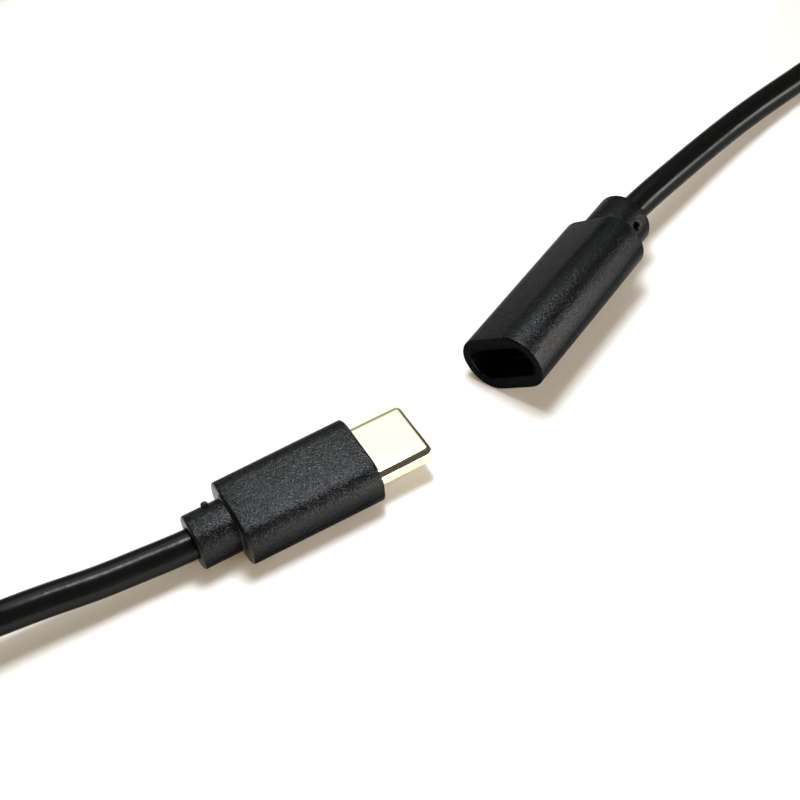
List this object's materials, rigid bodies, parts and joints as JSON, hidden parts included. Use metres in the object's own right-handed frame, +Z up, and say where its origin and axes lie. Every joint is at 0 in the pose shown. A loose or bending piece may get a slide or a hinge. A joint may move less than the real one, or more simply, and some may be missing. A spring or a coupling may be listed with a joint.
{
  "type": "dc power adapter lead",
  "caption": "Short black adapter lead: a flat reversible power plug with a bright metal shell on one end, a flat DC socket on the other.",
  "frame": {"origin": "middle of the plug moulding's flat underside, on the table that the lead lies on", "axes": "+X runs along the table past both connectors and is their longest extent, +Z is up out of the table, and the plug mates 30 degrees to the left of +X, as mount plug_front says"},
  "size_m": [0.1374, 0.128, 0.0098],
  "materials": {
    "black_pvc": "fine-grained matte, moulded",
    "black_cable": "satin extruded jacket",
    "black_resin": "moulded, satin",
    "nickel": "bright nickel plate on drawn steel",
    "spring_steel": "rolled strip",
    "gold_plate": "gold flash on copper alloy",
    "brass": "turned",
    "tin_plate": "tinned sheet",
    "tinned_wire": "tinned copper strands",
    "green_board": "solder mask",
    "chip_black": "moulded package",
    "ceramic": "fired ceramic",
    "positive_pvc": "red core insulation",
    "negative_pvc": "black core insulation",
    "milky_resin": "translucent polyethylene"
  },
  "bodies": {
    "root": {"board_capacitor": "ceramic", "board_resistor": "chip_black", "cable": "black_cable", "centre_pin": "brass", "control_contact_a5": "gold_plate", "ground_contact_a1": "gold_plate", "ground_contact_a12": "gold_plate", "ground_contact_b1": "gold_plate", "ground_contact_b12": "gold_plate", "latch_plate": "spring_steel", "lower_cover": "tin_plate", "negative_core_at_plug": "negative_pvc", "negative_core_at_socket": "negative_pvc", "negative_wire_end_at_plug": "tinned_wire", "negative_wire_end_at_socket": "tinned_wire", "outer_contact": "spring_steel", "plug_board": "green_board", "plug_housing": "black_resin", "plug_overmould": "black_pvc", "plug_shell": "nickel", "positive_core_at_plug": "positive_pvc", "positive_core_at_socket": "positive_pvc", "positive_wire_end_at_plug": "tinned_wire", "positive_wire_end_at_socket": "tinned_wire", "power_controller": "chip_black", "socket_inner_mould": "milky_resin", "socket_liner": "black_resin", "socket_overmould": "black_pvc", "supply_contact_a4": "gold_plate", "supply_contact_a9": "gold_plate", "supply_contact_b4": "gold_plate", "supply_contact_b9": "gold_plate", "upper_cover": "tin_plate"}
  },
  "joints": []
}
